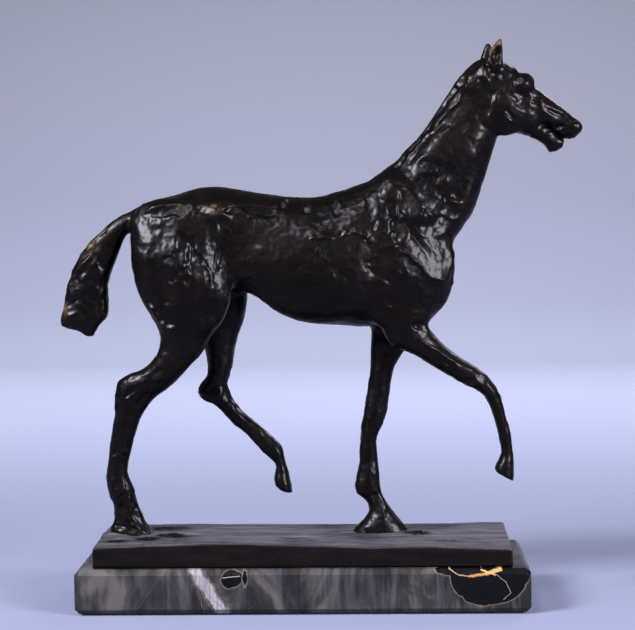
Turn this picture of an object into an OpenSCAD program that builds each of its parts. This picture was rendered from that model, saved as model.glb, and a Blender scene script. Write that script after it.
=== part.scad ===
// Bronze statuette of a walking horse on a marble slab.
// Origin: centre of the base's underside. +X towards the head, +Y to the horse's left, +Z up.

/* [Marble slab] */
// Length of the slab
marble_l = 310; // [300:1:340]
// Width of the slab
marble_w = 125; // [116:1:150]
// Thickness of the slab
marble_h = 30; // [24:1:40]
// Chamfer along every edge of the slab
chamfer = 3.2; // [1:0.2:6]
// Thickness of the felt under the slab
felt_t = 1.2; // [1:0.1:3]
// How far the felt stays inside the slab's edge
felt_inset = 5; // [4:0.5:12]

/* [Ground plinth] */
// Length of the bronze plinth
plinth_l = 286; // [280:1:296]
// Width of the bronze plinth
plinth_w = 103; // [96:1:108]
// Mean height of the plinth
plinth_h = 14.8; // [13:0.1:20]
// Wall thickness of the plinth casting
plinth_wall = 4; // [3:0.5:4.5]
// How far the plinth's middle lies towards the horse's right
plinth_shift = 3.5; // [0:0.5:4.5]

/* [Horse] */
// Fullness of the horse across its width
girth = 1; // [0.95:0.01:1.05]
// Wall thickness of the hollow castings
wall = 5; // [4:0.5:6]
// Facets round each section of the figure
section_facets = 24; // [20:2:28]

/* [Joints and fastenings] */
// Radial clearance of a spigot in its socket
spigot_gap = 0.1; // [0.05:0.05:0.2]
// Diameter of the cross pins
pin_d = 3; // [2:0.5:4]
// Diameter of the core plugs in the belly
plug_d = 6; // [5:0.5:8]
// Thread diameter of the hoof studs
stud_d = 5; // [4:1:6]
// Thread diameter of the base bolts
bolt_d = 8; // [6:1:8]
// Distance of each base bolt from the middle
bolt_x = 96; // [80:1:100]
// Depth of the counterbores under the slab
counterbore_h = 12; // [11:0.5:16]

/* [Hidden] */

BRONZE = "#2b2220";
GROUND_BRONZE = "#4a4448";
MARBLE = "#8b8988";
STEEL = "#9a9da1";
FELT = "#1f3b2c";

marble_top = felt_t + marble_h;
ground = marble_top + plinth_h;
plinth_under = ground - plinth_wall - 0.8;
touch = 0.02;
sheet = 0.02;
far = 400;

// Every section of the figure is an ellipse that stands across the horse's length:
// [x, y, z above the ground, tilt of its long axis, half length, half width].
BARREL = [
    [-119, 0, 218, 90, 8, 7], [-113, 0, 215, 90, 17, 16], [-100, 0, 213, 90, 23, 24],
    [-85, 0, 211, 90, 29.5, 29], [-65, 0, 210.5, 90, 34.5, 31], [-45, 0, 207.5, 90, 35.5, 31],
    [-28, 0, 202, 90, 37.5, 32], [-10, 0, 195, 90, 42.5, 33.5], [10, 0, 193, 90, 43.5, 34],
    [30, 0, 195, 90, 46.5, 33], [48, 0, 198, 90, 50, 31], [62, 0, 201, 90, 53.5, 29],
    [76, 0, 200, 90, 53, 27], [87, 0, 198, 90, 47, 25], [95, 0, 196, 90, 35, 22],
    [101, 0, 194, 90, 21, 16], [104, 0, 193, 90, 9, 9]
];
RIGHT_HAUNCH = [
    [-84, -10, 232, 0, 15, 8], [-85, -15, 217, 0, 29, 14.5], [-84.5, -17, 198, 0, 31.5, 17.5],
    [-82.5, -18, 184, 0, 32, 17], [-80.5, -18.5, 169, 0, 29.7, 16], [-80, -18, 160, 0, 26.3, 15]
];
RIGHT_HIND = [
    [-79.5, -17.5, 150, 0, 23.5, 14], [-79.5, -17, 142, 0, 19.2, 12.5], [-86, -16.5, 129, -15, 15, 11.5],
    [-93.5, -15.5, 120, -32, 11.5, 10.5], [-104, -14.5, 111, -40, 9.8, 9.5],
    [-119, -12.5, 101.5, -38, 11.5, 8.5], [-120, -12, 90, 0, 9.8, 7.5], [-124.5, -10, 75, 0, 8.3, 6.3],
    [-127.5, -8.5, 60, 0, 7.3, 5.8], [-130, -7, 47, 0, 7.1, 6], [-129, -6.5, 38, 0, 8.7, 7.2],
    [-127, -6, 32, 0, 9.8, 7.5], [-125, -5.5, 23, 0, 8.6, 6.8], [-122.5, -5, 16, 0, 9, 7.5],
    [-121.5, -5, 11, 0, 11, 9], [-118, -5, 0, 0, 15.5, 11.5]
];
LEFT_HAUNCH = [
    [-84, 10, 232, 0, 15, 8], [-83, 15, 217, 0, 30, 14.5], [-78, 17, 198, 0, 34, 17.5],
    [-72, 18, 184, 0, 33, 17], [-67, 18.5, 169, 0, 27, 16], [-63, 18, 160, 0, 22, 14.5]
];
LEFT_HIND = [
    [-60.5, 18, 148, 0, 17, 13], [-59.5, 17.5, 140, 0, 12.5, 11.5], [-59.5, 17, 129, 0, 10, 10.5],
    [-60, 16.5, 118, 0, 8.4, 9.5], [-62, 16, 110, 0, 7.6, 9], [-64.5, 15.5, 99.5, 8, 10.7, 8.5],
    [-58.5, 15, 94, 20, 9, 7.5], [-47, 14, 82, 46, 5.6, 6], [-35, 13, 70.3, 46, 5.3, 5.8],
    [-22, 12.5, 59.2, 40, 6, 7], [-17.8, 12.2, 52.5, 15, 3.8, 6.3], [-16.7, 12, 47.5, 0, 3.4, 5.8],
    [-16.7, 12, 38.5, 0, 5, 7.5], [-15.7, 12, 33, 0, 5.5, 8.5], [-14.5, 12, 30, -20, 5.3, 8.5]
];
LEFT_ARM = [[70, 10, 176, 0, 22, 14], [65, 12, 156, 0, 16, 11], [62.5, 12.5, 147, 0, 14.5, 10]];
LEFT_FORE = [
    [61, 12.5, 137, 0, 13, 9.5], [59.7, 12.5, 128, 0, 11.4, 9], [57.5, 12, 121, 0, 9.6, 8.5],
    [55.4, 12, 113, 0, 8.1, 8], [53.5, 11.5, 103, 0, 7.5, 7.5], [52, 11.3, 93, 0, 8, 7.3],
    [50.3, 11, 83, 0, 8, 7], [48, 10.5, 73, 0, 7, 6], [45.8, 10, 64, 0, 5.3, 5.3],
    [45.5, 9.8, 56, 0, 5.6, 5], [45.4, 9.5, 48, 0, 6.5, 5.5], [45, 9.3, 38, 0, 8, 6.5],
    [45, 9, 31, 0, 8.7, 7], [46.5, 9, 27, 0, 8.5, 7], [51, 9, 21.5, -8, 6.7, 6.3],
    [53, 9, 18, 0, 6.1, 6.3], [54, 9, 13, 0, 8, 7.5], [53.8, 9, 8, 0, 11.8, 9], [55, 9, 0, 0, 17, 11]
];
RIGHT_ARM = [[75, -10, 176, 0, 23, 14], [72, -13.5, 156, 0, 18, 11.5], [72, -14, 147, 0, 16, 11]];
RIGHT_FORE = [
    [73, -14, 141, 18, 15, 10.5], [77.5, -14, 137, 40, 12.2, 10.3], [83, -14, 136, 57, 9.8, 9.8],
    [92, -14, 128.5, 58, 8.6, 9], [101.5, -14, 121.8, 58, 7.7, 8.2], [113.3, -14, 114.3, 58, 7.3, 7.8],
    [121.5, -13.8, 109.2, 52, 7.5, 7.6], [127.3, -13.5, 104.2, 35, 6.8, 7.3],
    [131.8, -13.3, 96.2, 20, 5.2, 6.5], [134.8, -13, 89.8, 12, 4.7, 5.8], [137.2, -13, 82.5, 10, 4.3, 5.3],
    [140.4, -12.8, 70.5, 8, 4.2, 5], [142, -12.5, 60.6, 4, 3.9, 5], [141.7, -12.5, 55.6, 0, 4.3, 5.5],
    [140.2, -12.5, 50.6, 0, 6, 6.8], [140, -12.5, 46, 0, 6.3, 7.5], [140, -12.5, 41.6, -27, 6.5, 8.2]
];
NECK = [
    [80, 0, 227, -52, 32, 20], [86, 0, 233.5, -49.4, 32.3, 19], [94, 0, 243, -41, 31.5, 17.5],
    [102.5, 0, 258.3, -30, 28.3, 15.5], [110.3, 0, 275, -26, 24.8, 13.5], [118.7, 0, 291.7, -33, 22.4, 12],
    [126, 0, 301.5, -52, 24.6, 12.5], [135, 0, 305, -64, 27.7, 13], [149.5, 0, 303.3, -72, 27.1, 12.5],
    [161.5, 0, 298.5, -77, 24.6, 11.5]
];
NOSE = [
    [161.5, 0, 299.5, -77, 23.5, 11], [171.5, 0, 295, -82, 11, 9], [179, 0, 290, -97, 8, 7.5],
    [188, 0, 283, -106, 7.3, 7], [193, 0, 281, -117, 4.5, 5]
];
LOWER_JAW = [[160, 0, 281, 90, 5.5, 7], [174, 0, 272.7, 80, 6, 5.5], [181, 0, 272, 75, 2.6, 4]];
RIGHT_EAR = [
    [135, -6, 324, 0, 6, 4.5], [137.3, -7.5, 336, 0, 4.3, 3.4], [139, -8.5, 342, 0, 2.4, 2],
    [139.3, -9, 345, 0, 1, 1]
];
LEFT_EAR = [
    [128, 6, 322, 0, 5.5, 4.5], [130, 7.5, 334.5, 0, 3.4, 3], [131.5, 8.5, 339.5, 0, 2.4, 2],
    [132, 9, 341.5, 0, 1.2, 1]
];
TAIL_ROOT = [[-108, 0, 221, 105, 9, 8], [-116, 0, 222.8, 106, 8, 7]];
TAIL = [
    [-127, 0, 217.5, 115, 7.4, 7.5], [-135, 0, 208, 132, 9.2, 8], [-142.7, 0, 196.5, 146, 11.6, 8.5],
    [-149, 0, 183, 165, 13.3, 8.5], [-151.5, 0, 171, 175, 14.4, 8.5], [-152.5, 0, 160, 180, 16, 8],
    [-154, 0, 152.5, 180, 15.8, 7], [-156.5, 0, 148.5, 180, 11, 6.5], [-149, 0, 141.5, 180, 2.6, 3]
];

// Joint planes: a point [x, z above the ground], the angle of the normal that points out of the
// trunk, and the joint's own place: centre of the spigot [x, y, z], its diameter and its depth.
NECK_JOINT = [[86, 233.5], 40.6, [86, 0, 233.5], 22, 14];
TAIL_JOINT = [[-119.5, 215], 164.5, [-117.6, 0, 222], 7, 10];
RIGHT_HIND_JOINT = [[-81, 159], -90, [-81, -18, 159], 16, 14];
LEFT_HIND_JOINT = [[-63, 159], -90, [-63, 18, 159], 14, 14];
RIGHT_FORE_JOINT = [[72, 146], -90, [72, -14, 146], 10, 11];
LEFT_FORE_JOINT = [[62.5, 146], -90, [62.5, 12.5, 146], 10, 11];
JOINTS = [
    NECK_JOINT, TAIL_JOINT, RIGHT_HIND_JOINT, LEFT_HIND_JOINT, RIGHT_FORE_JOINT, LEFT_FORE_JOINT
];
// Half length of each joint's cross pin, in the order of JOINTS
PIN_REACH = [14, 5.2, 11, 10, 7.6, 7.2];

// Where the standing hooves are bolted down: [x, y]
HOOF_BOLTS = [[-118, -5], [55, 9]];
PLUG_X = [8, 40];

// Surface of the modelled ground: [x, height above the mean along the right edge, along the left]
GROUND = [
    [-0.5, 0.3, 0.5], [-0.3, 2, 0.6], [-0.06, 0.8, 0.5], [0.16, -1, 0.4], [0.32, -0.6, 0.4], [0.5, -2.8, 0.2]
];

stud_top = ground + 9;
stud_low = plinth_under - 7.6;
washer_h = 1;
nut_h = 4;
seat_d = 42;
bolt_hole_d = bolt_d + 0.6;
counterbore_d = 22;
boss_d = bolt_d + 8;
bolt_top = marble_top + 7;
washer_z = felt_t + counterbore_h - 1.6;
head_h = 5.3;

module section(s, inset = 0) {
    translate([s[0], s[1], ground + s[2]])
        rotate([0, -s[3], 0])
            scale([max(s[4] - inset, 0.5), max(s[5] * girth - inset, 0.5), 1])
                cylinder(h = sheet, r = 1, center = true, $fn = section_facets);
}

// Skin over a row of sections
module loft(rows, inset = 0) {
    for (i = [0 : len(rows) - 2]) {
        hull() {
            section(rows[i], inset);
            section(rows[i + 1], inset);
        }
    }
}

module muscle(p, r, tilt = 0) {
    translate([p[0], p[1], ground + p[2]])
        rotate([0, -tilt, 0])
            scale([r[0], r[1], r[2]])
                sphere(r = 1, $fn = section_facets);
}

// Puts a shape drawn up the +Z axis at a joint, pointing out of the trunk
module at_joint(j) {
    translate([j[2][0], j[2][1], ground + j[2][2]])
        rotate([0, 90 - j[1], 0])
            children();
}

// Everything on the outer side of a joint's plane
module beyond(j) {
    translate([j[0][0], 0, ground + j[0][1]])
        rotate([0, 90 - j[1], 0])
            translate([-far, -far, 0])
                cube([2 * far, 2 * far, 2 * far]);
}

module spigot(j, gap = 0) {
    at_joint(j)
        translate([0, 0, -j[4] - gap])
            cylinder(h = j[4] + gap + 1, d = j[3] + 2 * gap, $fn = 40);
}

module cross_pin(j, reach, gap = 0) {
    at_joint(j)
        translate([0, 0, -j[4] / 2])
            rotate([90, 0, 0])
                cylinder(h = 2 * reach, d = pin_d + 2 * gap, center = true, $fn = 24);
}

module legs_zone(x0, x1, top) {
    translate([x0, -far / 2, ground - 20])
        cube([x1 - x0, far, top + 20]);
}

module torso(inset = 0) {
    loft(BARREL, inset);
}

module trunk_skin() {
    torso();
    loft(concat(RIGHT_HAUNCH, [RIGHT_HIND[0]]));
    loft(concat(LEFT_HAUNCH, [LEFT_HIND[0]]));
    loft(concat(RIGHT_ARM, [RIGHT_FORE[0]]));
    loft(concat(LEFT_ARM, [LEFT_FORE[0]]));
    loft([NECK[0], NECK[1]]);
    loft(TAIL_ROOT);
    for (side = [-1, 1]) {
        hull() {
            muscle([57, side * 12, 234], [12, 9, 12]);
            muscle([88, side * 14, 196], [15, 11, 15]);
        }
        hull() {
            muscle([88, side * 15, 190], [13, 10, 13]);
            muscle([62, side * 20, 170], [13, 9, 13]);
        }
    }
}

module trunk() {
    color(BRONZE)
        difference() {
            trunk_skin();
            for (j = [NECK_JOINT, TAIL_JOINT]) beyond(j);
            legs_zone(-200, -22, 159);
            legs_zone(40, 120, 146);
            torso(wall);
            for (i = [0 : len(JOINTS) - 1]) {
                spigot(JOINTS[i], spigot_gap);
                cross_pin(JOINTS[i], PIN_REACH[i], touch);
            }
            translate([0, 0, -4])
                spigot(NECK_JOINT, 0);
            for (x = PLUG_X) core_plug(x);
        }
}

// A casting outside one joint's plane, with its spigot and the hole for the cross pin
module casting(i) {
    color(BRONZE)
        difference() {
            union() {
                intersection() {
                    children();
                    beyond(JOINTS[i]);
                }
                spigot(JOINTS[i]);
            }
            cross_pin(JOINTS[i], PIN_REACH[i], touch);
        }
}

module neck_and_head() {
    difference() {
        casting(0) {
            loft(NECK);
            loft(NOSE);
            loft(LOWER_JAW);
            loft(RIGHT_EAR);
            loft(LEFT_EAR);
            for (side = [-1, 1]) {
                muscle([156.5, side * 7.5, 316], [6.5, 5, 6]);
                muscle([146, side * 8, 292], [14, 6, 15]);
            }
        }
        color(BRONZE) {
            loft([for (i = [1 : 4]) NECK[i] + [4, 0, 3, 0, -6, -6]]);
            spigot_bore(NECK_JOINT);
        }
    }
}

// Hole through the neck's spigot, which drains the hollow neck into the trunk
module spigot_bore(j) {
    at_joint(j)
        translate([0, 0, -j[4] - 1])
            cylinder(h = j[4] + 12, d = j[3] - 12, $fn = 32);
}

// Tapped hole for a stud, up into a standing hoof
module hoof_bore(p) {
    translate([p[0], p[1], ground - 2])
        cylinder(h = stud_top - ground + 2.5, d = stud_d + 2 * touch, $fn = 32);
}

module left_foreleg() {
    difference() {
        casting(5) loft(concat([LEFT_ARM[2]], LEFT_FORE));
        hoof_bore(HOOF_BOLTS[1]);
    }
}

module right_foreleg() {
    casting(4) loft(concat([RIGHT_ARM[2]], RIGHT_FORE));
}

module left_hind_leg() {
    casting(3) loft(concat([LEFT_HAUNCH[5]], LEFT_HIND));
}

module right_hind_leg() {
    difference() {
        casting(2) loft(concat([RIGHT_HAUNCH[5]], RIGHT_HIND));
        hoof_bore(HOOF_BOLTS[0]);
    }
}

module tail() {
    casting(1) loft(concat([TAIL_ROOT[0], TAIL_ROOT[1]], TAIL));
}

module joint_pins() {
    color(STEEL)
        for (i = [0 : len(JOINTS) - 1]) cross_pin(JOINTS[i], PIN_REACH[i]);
}

module core_plug(x) {
    translate([x, 0, ground + 150.5])
        cylinder(h = 7, d = plug_d, $fn = 32);
}

module core_plugs() {
    color(BRONZE)
        for (x = PLUG_X) core_plug(x);
}

// One rib across the plinth: [x as a share of the length, rise at the right edge, at the left]
module ground_rib(g) {
    translate([g[0] * plinth_l, -plinth_shift, marble_top])
        rotate([90, 0, 90])
            linear_extrude(height = sheet, center = true)
                polygon([
                    [-plinth_w / 2, 0], [plinth_w / 2, 0],
                    [plinth_w / 2 - 1.5, plinth_h + g[2]], [-plinth_w / 2 + 1.5, plinth_h + g[1]]
                ]);
}

module plinth() {
    inner_l = plinth_l - 2 * plinth_wall;
    inner_w = plinth_w - 2 * plinth_wall - 2;
    color(GROUND_BRONZE)
        difference() {
            for (i = [0 : len(GROUND) - 2]) {
                hull() {
                    ground_rib(GROUND[i]);
                    ground_rib(GROUND[i + 1]);
                }
            }
            difference() {
                translate([-inner_l / 2, -plinth_shift - inner_w / 2, marble_top - 1])
                    cube([inner_l, inner_w, plinth_under - marble_top + 1]);
                for (x = [-bolt_x, bolt_x])
                    translate([x, 0, marble_top - 2])
                        cylinder(h = plinth_h + 2, d = boss_d, $fn = 48);
            }
            for (x = [-bolt_x, bolt_x])
                translate([x, 0, marble_top - 1])
                    cylinder(h = bolt_top - marble_top + 1.5, d = bolt_d + 2 * touch, $fn = 40);
            for (p = HOOF_BOLTS) {
                translate([p[0], p[1], marble_top + 2])
                    cylinder(h = plinth_h + 10, d = stud_d + 2 * touch, $fn = 32);
                translate([p[0], p[1], ground - touch])
                    cylinder(h = plinth_h, d = seat_d, $fn = 64);
            }
        }
}

module hoof_studs() {
    color(STEEL)
        for (p = HOOF_BOLTS)
            translate([p[0], p[1], stud_low])
                cylinder(h = stud_top - stud_low, d = stud_d, $fn = 32);
}

module hoof_washers() {
    color(STEEL)
        for (p = HOOF_BOLTS)
            translate([p[0], p[1], plinth_under - washer_h])
                ring(2.2 * stud_d, stud_d + 2 * touch, washer_h);
}

module hoof_nuts() {
    color(STEEL)
        for (p = HOOF_BOLTS)
            translate([p[0], p[1], plinth_under - washer_h - nut_h])
                difference() {
                    cylinder(h = nut_h, d = 1.85 * stud_d, $fn = 6);
                    translate([0, 0, -1])
                        cylinder(h = nut_h + 2, d = stud_d + 2 * touch, $fn = 32);
                }
}

module ring(outer_d, inner_d, h) {
    difference() {
        cylinder(h = h, d = outer_d, $fn = 48);
        translate([0, 0, -1])
            cylinder(h = h + 2, d = inner_d, $fn = 48);
    }
}

module chamfered_profile(a, b) {
    polygon([
        [-a / 2 + chamfer, 0], [a / 2 - chamfer, 0], [a / 2, chamfer], [a / 2, b - chamfer],
        [a / 2 - chamfer, b], [-a / 2 + chamfer, b], [-a / 2, b - chamfer], [-a / 2, chamfer]
    ]);
}

module marble_base() {
    color(MARBLE)
        translate([0, 0, felt_t])
            difference() {
                intersection() {
                    rotate([90, 0, 0])
                        linear_extrude(height = marble_w, center = true)
                            chamfered_profile(marble_l, marble_h);
                    rotate([90, 0, 90])
                        linear_extrude(height = marble_l, center = true)
                            chamfered_profile(marble_w, marble_h);
                    linear_extrude(height = marble_h)
                        translate([0, -marble_w / 2])
                            chamfered_profile(marble_l, marble_w);
                }
                for (x = [-bolt_x, bolt_x]) {
                    translate([x, 0, -1])
                        cylinder(h = marble_h + 2, d = bolt_hole_d, $fn = 48);
                    translate([x, 0, -1])
                        cylinder(h = counterbore_h + 1, d = counterbore_d, $fn = 48);
                }
            }
}

module base_bolts() {
    color(STEEL)
        for (x = [-bolt_x, bolt_x])
            translate([x, 0, 0]) {
                translate([0, 0, washer_z - head_h])
                    cylinder(h = head_h, d = 1.85 * bolt_d, $fn = 6);
                translate([0, 0, washer_z - 1])
                    cylinder(h = bolt_top - washer_z + 1, d = bolt_d, $fn = 40);
            }
}

module base_washers() {
    color(STEEL)
        for (x = [-bolt_x, bolt_x])
            translate([x, 0, washer_z])
                ring(counterbore_d - 4, bolt_d + 2 * touch, 1.6);
}

module felt_underlay() {
    corner = 4;
    corner_x = marble_l / 2 - felt_inset - corner;
    corner_y = marble_w / 2 - felt_inset - corner;
    color(FELT)
        linear_extrude(height = felt_t)
            hull()
                for (x = [-1, 1], y = [-1, 1])
                    translate([x * corner_x, y * corner_y])
                        circle(r = corner, $fn = 32);
}

trunk();
neck_and_head();
left_foreleg();
right_foreleg();
left_hind_leg();
right_hind_leg();
tail();
joint_pins();
core_plugs();
plinth();
hoof_studs();
hoof_washers();
hoof_nuts();
marble_base();
base_bolts();
base_washers();
felt_underlay();
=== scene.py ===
# Bronze statuette of a walking horse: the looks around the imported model.
# The horse and the ground are modelled as a clay volume, meshed, hand-worked and cut at the casting joints.
import math
import bmesh
import bpy
import numpy as np
import openvdb
from mathutils import Matrix, Vector
from mathutils.kdtree import KDTree


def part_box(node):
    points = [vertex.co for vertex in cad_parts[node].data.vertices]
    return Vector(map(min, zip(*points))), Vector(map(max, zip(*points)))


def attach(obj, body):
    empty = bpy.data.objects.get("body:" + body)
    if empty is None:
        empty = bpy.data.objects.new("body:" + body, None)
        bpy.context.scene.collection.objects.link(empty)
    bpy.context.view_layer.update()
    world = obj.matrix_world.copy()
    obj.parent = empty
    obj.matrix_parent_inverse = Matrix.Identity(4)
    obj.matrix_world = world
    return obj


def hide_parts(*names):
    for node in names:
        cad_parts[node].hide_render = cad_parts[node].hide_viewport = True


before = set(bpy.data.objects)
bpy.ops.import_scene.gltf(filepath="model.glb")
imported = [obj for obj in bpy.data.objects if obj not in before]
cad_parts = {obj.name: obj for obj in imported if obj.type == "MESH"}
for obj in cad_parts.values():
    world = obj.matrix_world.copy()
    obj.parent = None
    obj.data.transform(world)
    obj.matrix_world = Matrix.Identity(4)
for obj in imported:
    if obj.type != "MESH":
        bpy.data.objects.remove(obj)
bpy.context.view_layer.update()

MM = 0.001
# The clay's grid step in millimetres, and how far from a surface its distances are kept
VOXEL = 0.8
BAND = 12
REACH = BAND * VOXEL
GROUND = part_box("right_hind_leg")[0].z / MM
PLINTH = [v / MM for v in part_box("plinth")[0]], [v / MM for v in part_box("plinth")[1]]
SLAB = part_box("marble_base")
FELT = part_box("felt_underlay")

# ---------------------------------------------------------------- clay volume


class Clay:
    """A block of clay on a voxel grid: distances in millimetres, negative inside."""

    def __init__(self, low, high):
        self.start = np.floor(np.array(low) / VOXEL).astype(int)
        size = np.ceil(np.array(high) / VOXEL).astype(int) - self.start
        self.field = np.full(size, REACH, dtype=np.float32)

    def window(self, low, high):
        first = np.maximum(np.floor((np.array(low) - REACH) / VOXEL).astype(int), self.start)
        end = self.start + self.field.shape
        last = np.minimum(np.ceil((np.array(high) + REACH) / VOXEL).astype(int), end)
        cut = tuple(slice(a - s, b - s) for a, b, s in zip(first, last, self.start))
        return first, last, cut

    def axes(self, first, last):
        x, y, z = (np.arange(a, b, dtype=np.float32) * VOXEL for a, b in zip(first, last))
        return x[:, None, None], y[None, :, None], z[None, None, :]

    def add_mesh(self, mesh, soft):
        points, quads, tris = mesh
        first, last, cut = self.window(points.min(axis=0), points.max(axis=0))
        level = openvdb.FloatGrid.createLevelSetFromPolygons(
            points.astype(np.float32),
            triangles=tris.astype(np.uint32),
            quads=quads.astype(np.uint32),
            transform=openvdb.createLinearTransform(VOXEL),
            halfWidth=float(BAND),
        )
        block = np.zeros(tuple(last - first), dtype=np.float32)
        level.copyToArray(block, ijk=tuple(int(v) for v in first))
        self.join(cut, block, soft)

    def ball(self, centre, radii, tilt=0.0, yaw=0.0):
        """Distance to an ellipsoid, tilted from +X towards +Z and then turned about Z."""
        reach = max(radii)
        first, last, cut = self.window([c - reach for c in centre], [c + reach for c in centre])
        x, y, z = self.axes(first, last)
        x, y, z = x - centre[0], y - centre[1], z - centre[2]
        x, y = x * math.cos(yaw) + y * math.sin(yaw), y * math.cos(yaw) - x * math.sin(yaw)
        x, z = x * math.cos(tilt) + z * math.sin(tilt), z * math.cos(tilt) - x * math.sin(tilt)
        near = np.sqrt((x / radii[0]) ** 2 + (y / radii[1]) ** 2 + (z / radii[2]) ** 2)
        slope = np.sqrt((x / radii[0] ** 2) ** 2 + (y / radii[1] ** 2) ** 2 + (z / radii[2] ** 2) ** 2)
        return cut, (near * (near - 1) / np.maximum(slope, 1e-6)).astype(np.float32)

    def join(self, cut, block, soft):
        old = self.field[cut]
        mix = np.clip(0.5 + 0.5 * (old - block) / soft, 0, 1)
        self.field[cut] = old * (1 - mix) + block * mix - soft * mix * (1 - mix)

    def carve(self, cut, block, soft):
        old = self.field[cut]
        mix = np.clip(0.5 - 0.5 * (old + block) / soft, 0, 1)
        self.field[cut] = old * (1 - mix) - block * mix + soft * mix * (1 - mix)

    def mesh(self):
        grid = openvdb.FloatGrid(REACH)
        grid.copyFromArray(self.field, ijk=tuple(int(v) for v in self.start), tolerance=0.0)
        grid.transform = openvdb.createLinearTransform(VOXEL)
        points, quads = grid.convertToQuads(isovalue=0.0)
        return points.astype(np.float64), quads.astype(np.int64)


def smooth_rows(rows, step=2.0):
    """Rows of numbers, resampled along a smooth curve through them."""
    rows = np.array(rows, dtype=float)
    padded = np.vstack([2 * rows[0] - rows[1], rows, 2 * rows[-1] - rows[-2]])
    out = []
    for a, b, c, d in zip(padded, padded[1:], padded[2:], padded[3:]):
        count = max(1, int(np.linalg.norm((c - b)[:4]) / (2 * step)))
        for t in np.arange(count) / count:
            start = 2 * b + (c - a) * t + (2 * a - 5 * b + 4 * c - d) * t**2
            out.append(0.5 * (start + (3 * b - a - 3 * c + d) * t**3))
    out.append(rows[-1])
    return np.array(out)


def tube(rows, sides=40, square=2.2, egg=0.0, grow=0.0):
    """Skin over sections. A row holds a section's two edge points in side view, x z and x z, then the y
    of its middle and its half width. egg makes the second edge the wider one; grow adds flesh all round."""
    rows = smooth_rows(rows)
    turn = np.linspace(0, 2 * math.pi, sides, endpoint=False)
    along = np.sign(np.cos(turn)) * np.abs(np.cos(turn)) ** (2 / square)
    across = np.sign(np.sin(turn)) * np.abs(np.sin(turn)) ** (2 / square) * (1 - egg * along)
    rings = []
    for ax, az, bx, bz, y, w in rows:
        middle = np.array([(ax + bx) / 2, y, (az + bz) / 2])
        half = np.array([(ax - bx) / 2, 0, (az - bz) / 2])
        half = half * (1 + grow / np.linalg.norm(half))
        rings.append(middle + along[:, None] * half + across[:, None] * np.array([0, w + grow, 0]))
    points = np.vstack(rings + [rings[0].mean(axis=0)[None], rings[-1].mean(axis=0)[None]])
    n, m = len(rings), sides
    i, j = np.meshgrid(np.arange(n - 1), np.arange(m), indexing="ij")
    k = (j + 1) % m
    quads = np.stack([i * m + j, i * m + k, (i + 1) * m + k, (i + 1) * m + j], axis=-1).reshape(-1, 4)
    j = np.arange(m)
    k = (j + 1) % m
    first = np.stack([np.full(m, n * m), k, j], axis=-1)
    last = np.stack([np.full(m, n * m + 1), (n - 1) * m + j, (n - 1) * m + k], axis=-1)
    return points, quads, np.vstack([first, last])


# ---------------------------------------------------------------- the horse's forms
# Every place is in millimetres, z above the hooves' ground. Sections as tube() says.

BARREL = [
    (-118.5, 224, -118.5, 212, 0, 6), (-115, 229, -115.5, 202, 0, 14), (-109, 232.5, -108.5, 194, 0, 20),
    (-100, 236, -99, 189, 0, 25), (-88, 239.5, -86, 182, 0, 28.5), (-72, 244, -70, 178, 0, 30.5),
    (-58, 244.8, -56, 175, 0, 31), (-44, 242.8, -42, 171.5, 0, 31), (-30, 240, -30, 166.5, 0, 31.5),
    (-15, 238, -16, 158.5, 0, 33), (-2, 236.8, -3, 151.6, 0, 34), (12, 236.8, 12, 148.1, 0, 34),
    (30, 241.5, 32, 147, 0, 33.5), (42, 245.8, 46, 146, 0, 32), (54, 251, 60, 146.3, 0, 30),
    (64, 256.5, 74, 147.5, 0, 28), (79, 252, 86, 149.5, 0, 26), (90.5, 236, 94, 160, 0, 23.5),
    (99.5, 216, 100.5, 172, 0, 18), (103.3, 203, 103.6, 184, 0, 11),
]
THROUGH_NECK = [
    (54, 248, 92, 196, 0, 24), (62, 254.5, 101.5, 202, 0, 21.5), (66, 259, 109, 209.5, 0, 19.5),
    (70, 264.3, 115, 217.5, 0, 18.2), (76, 271, 120.2, 226, 0, 17.2), (80.5, 275.4, 124, 236, 0, 16.2),
    (85, 281, 127.5, 247, 0, 15.2), (90.8, 289.5, 130.6, 257, 0, 14.2), (96.5, 297.5, 133.8, 267, 0, 13.2),
    (101.2, 304.4, 136.3, 275, 0, 12.5), (107.2, 313.2, 138.4, 281.2, 0, 12.2),
    (113.6, 321.8, 141.5, 283.4, 0, 12.5), (120, 327.8, 145.6, 282, 0, 12.8),
    (126.8, 331.6, 150.5, 280, 0, 13), (134.5, 331.8, 155, 278.5, 0, 13), (141.5, 329.6, 160, 277, 0, 12.5),
    (148.5, 325, 164, 275.4, 0, 11.4), (154.5, 318.5, 166, 276, 0, 9.6), (159, 311, 168, 280, 0, 6),
]
NOSE = [
    (150, 323, 157, 284, 0, 11), (157.5, 316.8, 162, 285, 0, 10.6), (165, 310.5, 167.5, 284.5, 0, 9.8),
    (170, 306.6, 171.5, 284, 0, 9), (175, 302.9, 175.5, 281.5, 0, 8.2), (180.3, 298.8, 179.3, 278, 0, 7.6),
    (185.3, 294.8, 182.7, 275.8, 0, 7.6), (190.4, 290.5, 187, 275.2, 0, 7.6),
    (194, 287, 190.8, 275.9, 0, 7), (196, 283.4, 193.6, 278.2, 0, 4.6),
]
JAW = [
    (156, 290, 160, 276.3, 0, 7.5), (164, 287.5, 166, 274, 0, 7), (170.5, 284, 170.3, 270.2, 0, 6.5),
    (175, 281, 173, 266.2, 0, 6.2), (179, 277.8, 177.8, 266.8, 0, 5.8),
    (183.4, 274.6, 182.2, 269.4, 0, 4.2),
]
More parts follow.
